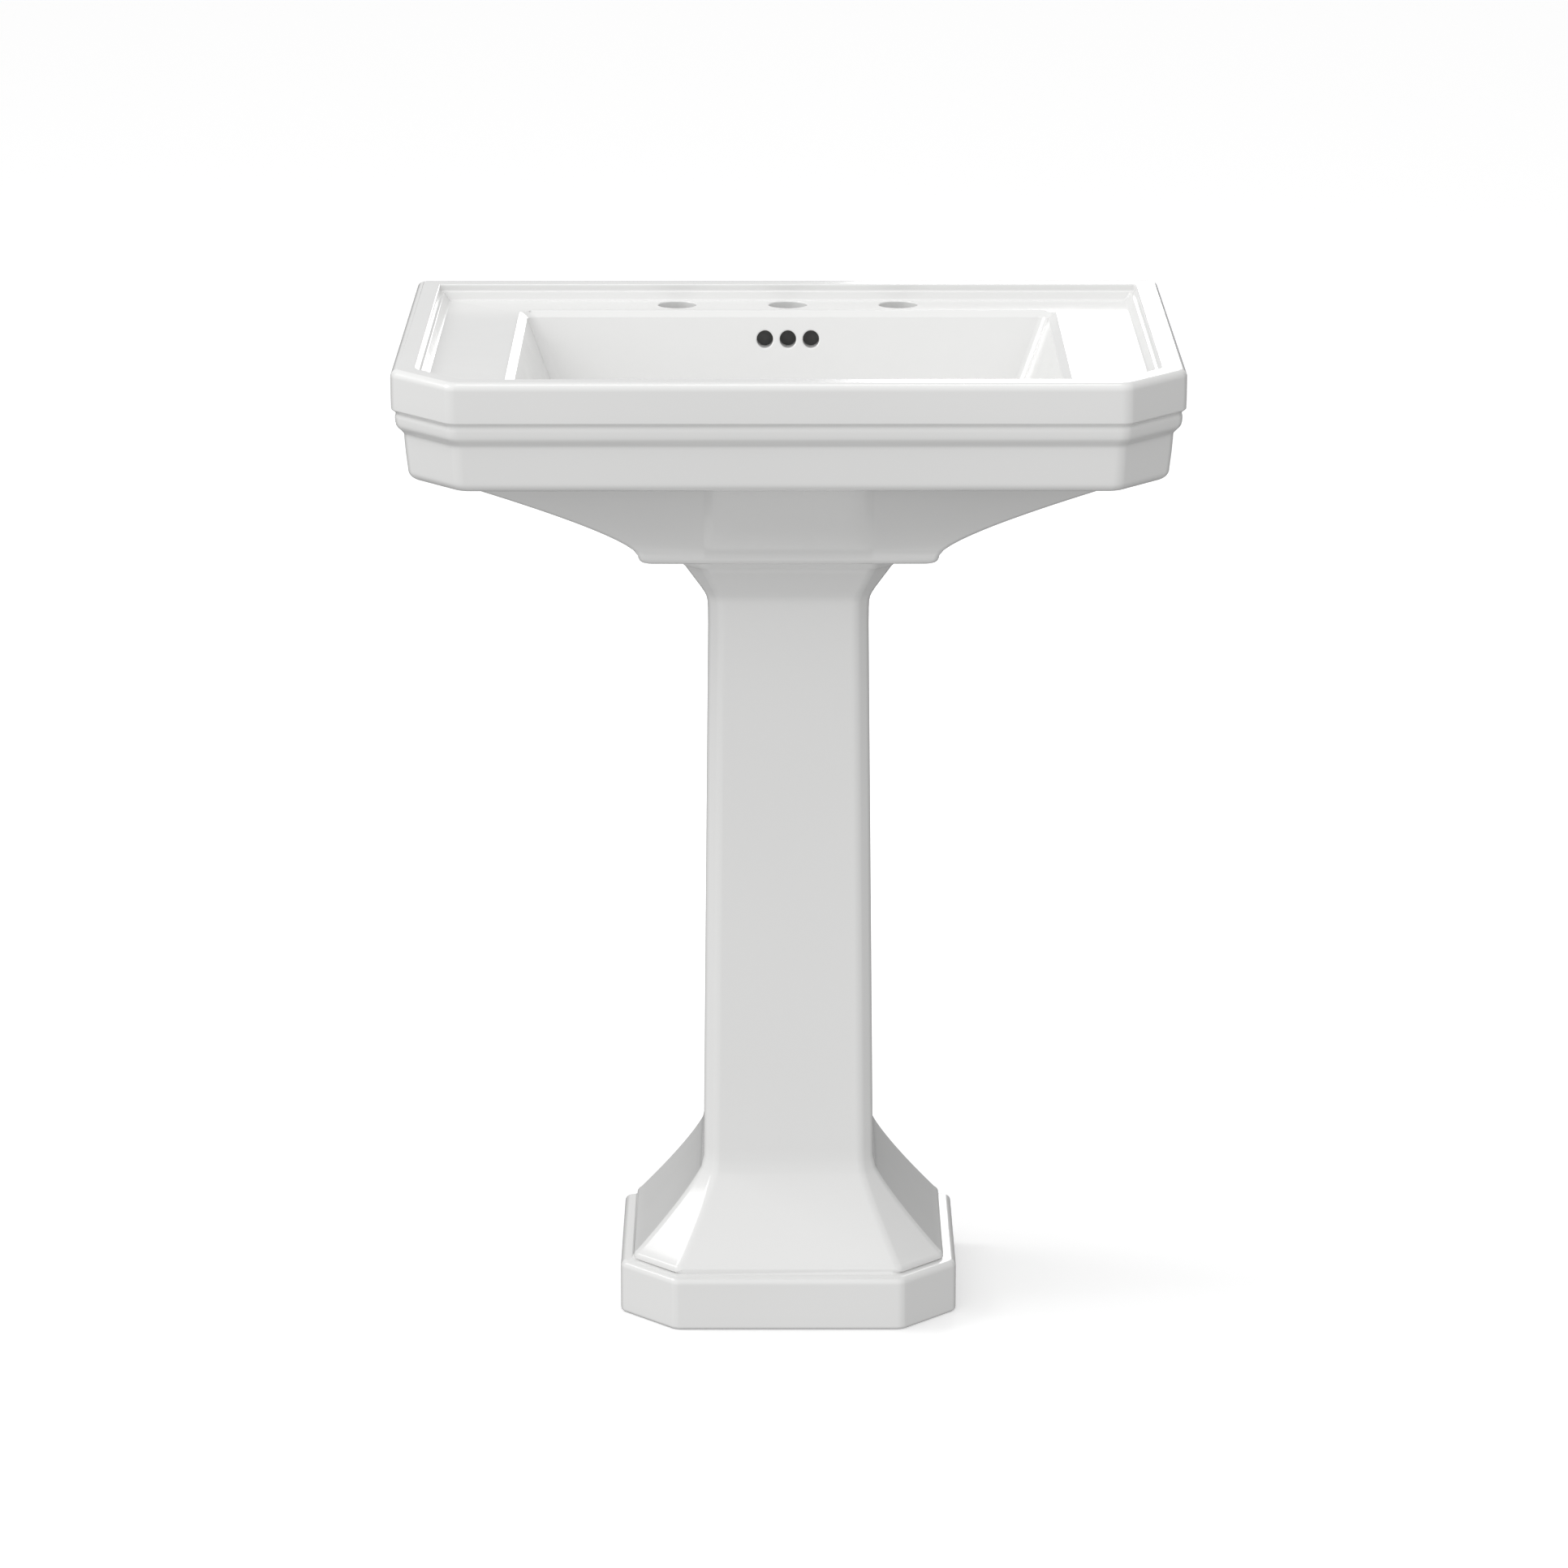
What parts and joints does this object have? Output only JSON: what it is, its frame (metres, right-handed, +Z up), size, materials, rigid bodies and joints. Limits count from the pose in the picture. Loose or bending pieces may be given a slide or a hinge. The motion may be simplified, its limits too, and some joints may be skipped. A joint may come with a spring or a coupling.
{
  "type": "pedestal sink",
  "caption": "Rectangular ceramic basin with clipped front corners on a faceted pedestal, with overflow, click-clack drain and trap.",
  "frame": {"origin": "on the floor, in the middle of the basin's width and depth", "axes": "+Z up, -Y is the front where a person stands, +Y is the wall side, +X is to the right seen from the front"},
  "size_m": [0.6858, 0.483, 0.889],
  "materials": {
    "glaze": "gloss",
    "rubber": "matte",
    "plated_brass": "satin",
    "chrome": "polished",
    "white_plastic": "matte",
    "spring_steel": "satin"
  },
  "bodies": {
    "sink": {"basin": "glaze", "pedestal": "glaze", "pedestal_pads": "rubber", "drain_body": "plated_brass", "flange_seal": "rubber", "basin_gasket": "rubber", "friction_washer": "white_plastic", "drain_locknut": "plated_brass", "latch_cartridge": "white_plastic", "latch_clip": "spring_steel", "stopper_spring": "spring_steel", "tailpiece": "chrome", "tailpiece_seal": "rubber", "trap_slip_nut": "chrome", "trap_slip_washer": "white_plastic", "trap_j_bend": "chrome", "cleanout_gasket": "rubber", "cleanout_plug": "chrome", "trap_union_washer": "rubber", "trap_union_nut": "chrome", "trap_arm": "chrome", "wall_escutcheon": "chrome"},
    "stopper": {"stopper_cap": "chrome", "stopper_seal": "rubber", "stopper_stem": "plated_brass"}
  },
  "joints": [
    {"name": "stopper_lift", "type": "slide", "parent": "sink", "child": "stopper", "axis": [0, 0, 1], "range_m": [-0.009, 0], "stiffness_N_per_m": 150, "springref_m": 0.014, "deforming": ["stopper_spring"]}
  ]
}
